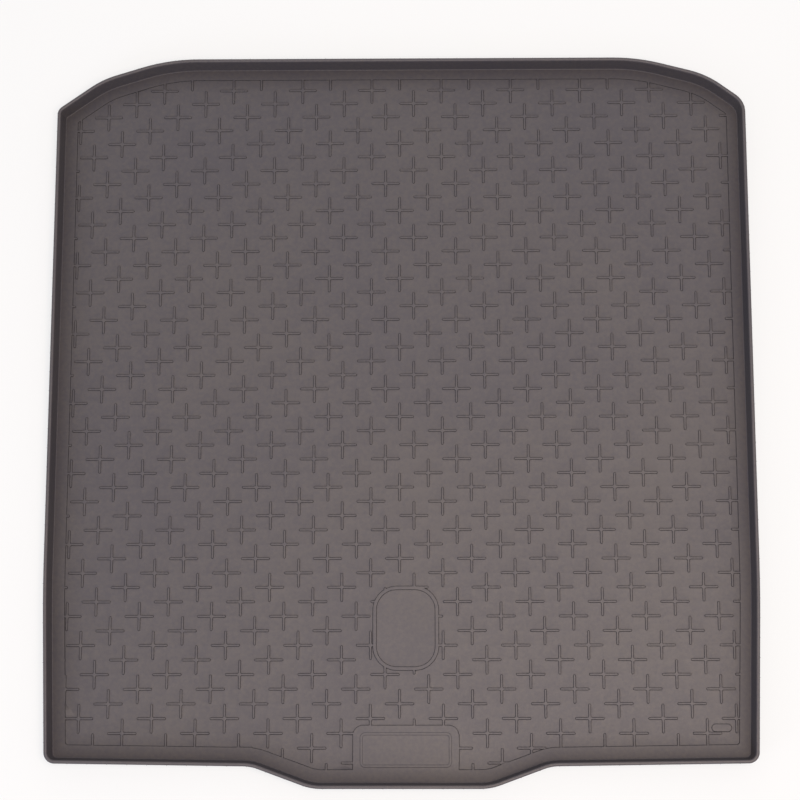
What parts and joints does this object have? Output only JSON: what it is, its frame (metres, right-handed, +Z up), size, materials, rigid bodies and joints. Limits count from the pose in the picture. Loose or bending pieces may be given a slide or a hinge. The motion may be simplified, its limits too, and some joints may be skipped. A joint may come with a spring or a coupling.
{
  "type": "car boot liner",
  "caption": "Shallow moulded rubber tray for a car boot floor, with an upturned rim and a floor of small raised crosses.",
  "frame": {"origin": "middle of the overall outline, on the underside", "axes": "+X to the right as seen from the sill, +Y from the sill towards the seats, +Z up"},
  "size_m": [0.9844, 1.0344, 0.03],
  "materials": {
    "moulded_rubber": "satin"
  },
  "bodies": {
    "root": {"liner": "moulded_rubber"}
  },
  "joints": []
}
